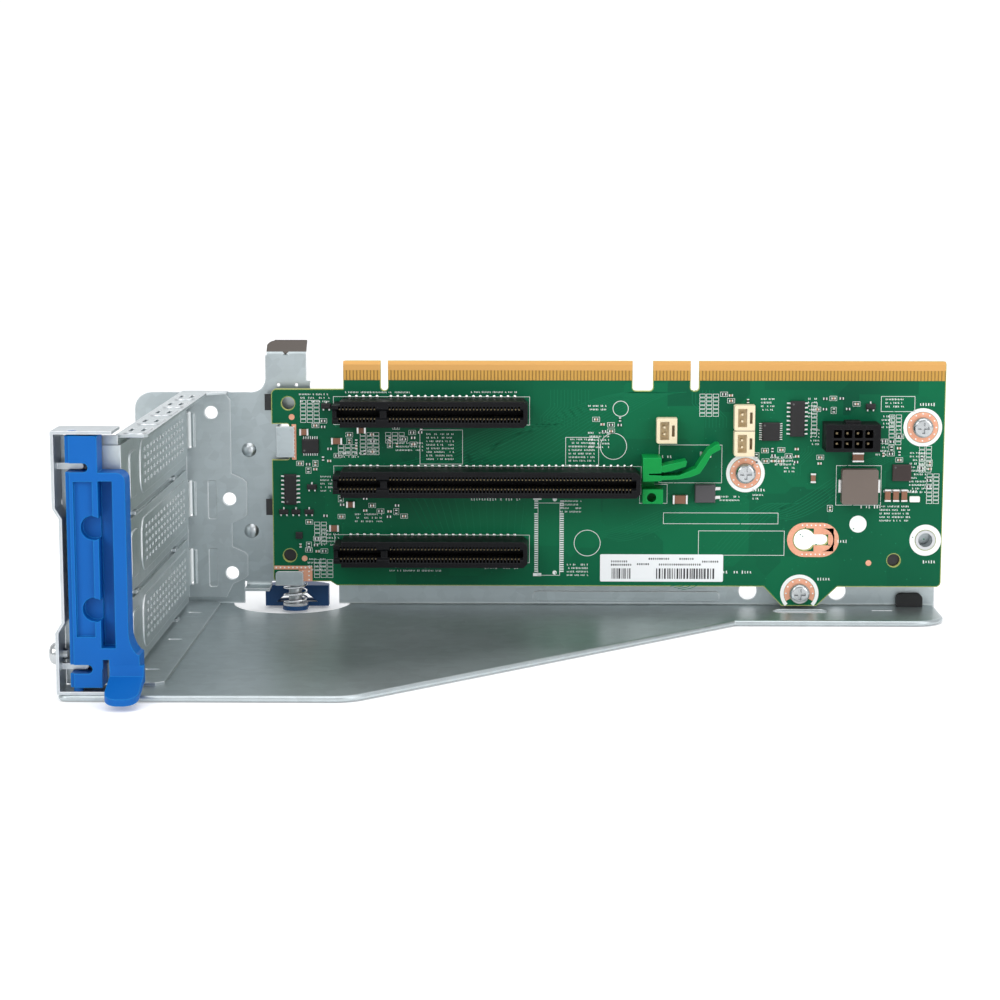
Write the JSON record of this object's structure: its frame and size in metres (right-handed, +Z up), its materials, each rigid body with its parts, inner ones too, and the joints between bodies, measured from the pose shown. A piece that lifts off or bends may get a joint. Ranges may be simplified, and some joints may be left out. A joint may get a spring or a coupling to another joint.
{
  "type": "riser cage bracket",
  "caption": "Folded steel riser cage for a rack server, with a slot wall, slot blanks, blue card retainer, half-turn latch and a riser board with card slots.",
  "frame": {"origin": "on the rest plane under the middle of the whole assembly", "axes": "+X along the board away from the slot wall, +Y from the open front towards the back wall, +Z up, away from the base"},
  "size_m": [0.2388, 0.141, 0.0796],
  "materials": {
    "cage_steel": "zinc-coated sheet, satin with a faint spangle",
    "wall_steel": "zinc-coated sheet, satin",
    "channel_steel": "zinc-coated sheet, satin",
    "blank_steel": "zinc-coated sheet, satin",
    "bright_steel": "nickel-plated",
    "spindle_steel": "turned steel",
    "spring_steel": "bright spring wire",
    "black_rubber": "matte",
    "blue_plastic": "fine-grained moulding",
    "knob_plastic": "fine-grained moulding",
    "board": "green solder mask over laminate",
    "gold": "gold plate",
    "slot_gold": "gold plate",
    "black_film": "satin film",
    "slot_plastic": "glass-filled moulding",
    "green_plastic": "smooth moulding",
    "cream_plastic": "smooth moulding",
    "ferrite": "pressed powder, matte",
    "chip_black": "moulded epoxy",
    "chip_grey": "moulded epoxy",
    "ceramic": "fired ceramic",
    "tin": "tin plate",
    "led_white": "smooth",
    "label_white": "paper label"
  },
  "bodies": {
    "cage": {"cage_frame": "cage_steel", "slot_wall": "wall_steel", "latch_channel": "channel_steel", "slot_blank_1": "blank_steel", "slot_blank_2": "blank_steel", "slot_blank_3": "blank_steel", "wall_rivets": "bright_steel", "corner_bumper": "black_rubber", "side_screw": "bright_steel", "latch_spring": "spring_steel", "riser_board": "board", "edge_contacts": "gold", "insulator_film": "black_film", "board_standoffs": "bright_steel", "board_screws": "bright_steel", "insert_nut": "bright_steel", "lower_slot": "slot_plastic", "middle_slot": "slot_plastic", "upper_slot": "slot_plastic", "lower_slot_contacts": "slot_gold", "middle_slot_contacts": "slot_gold", "upper_slot_contacts": "slot_gold", "card_clip": "green_plastic", "power_header": "slot_plastic", "power_header_pins": "slot_gold", "ribbon_header_1": "cream_plastic", "ribbon_header_2": "cream_plastic", "ribbon_header_3": "cream_plastic", "inductor": "ferrite", "inductor_terminals": "tin", "clock_chip": "chip_black", "logic_chip": "chip_black", "switch_chip": "chip_black", "monitor_chip": "chip_black", "converter_chip": "chip_black", "power_transistor": "chip_grey", "small_transistors": "chip_black", "chip_leads": "tin", "ceramic_capacitors": "ceramic", "capacitor_ends": "tin", "status_led": "led_white", "board_label": "label_white"},
    "retainer": {"retainer_latch": "blue_plastic"},
    "latch_slider": {"latch_collar": "spindle_steel"},
    "latch_turn": {"latch_knob": "knob_plastic", "latch_spindle": "spindle_steel"}
  },
  "joints": [
    {"name": "retainer_hinge", "type": "hinge", "parent": "cage", "child": "retainer", "pos_m": [-0.1117, -0.05764, 0.034], "axis": [0, 0, -1], "range_deg": [0, 95]},
    {"name": "latch_push", "type": "slide", "parent": "cage", "child": "latch_slider", "axis": [0, 0, 1], "range_m": [0, 0.0012], "stiffness_N_per_m": 600, "springref_m": -0.002, "deforming": ["latch_spring"]},
    {"name": "latch_half_turn", "type": "hinge", "parent": "latch_slider", "child": "latch_turn", "pos_m": [-0.07, 0.05854, 0.0036], "axis": [0, 0, -1], "range_deg": [0, 180]}
  ]
}
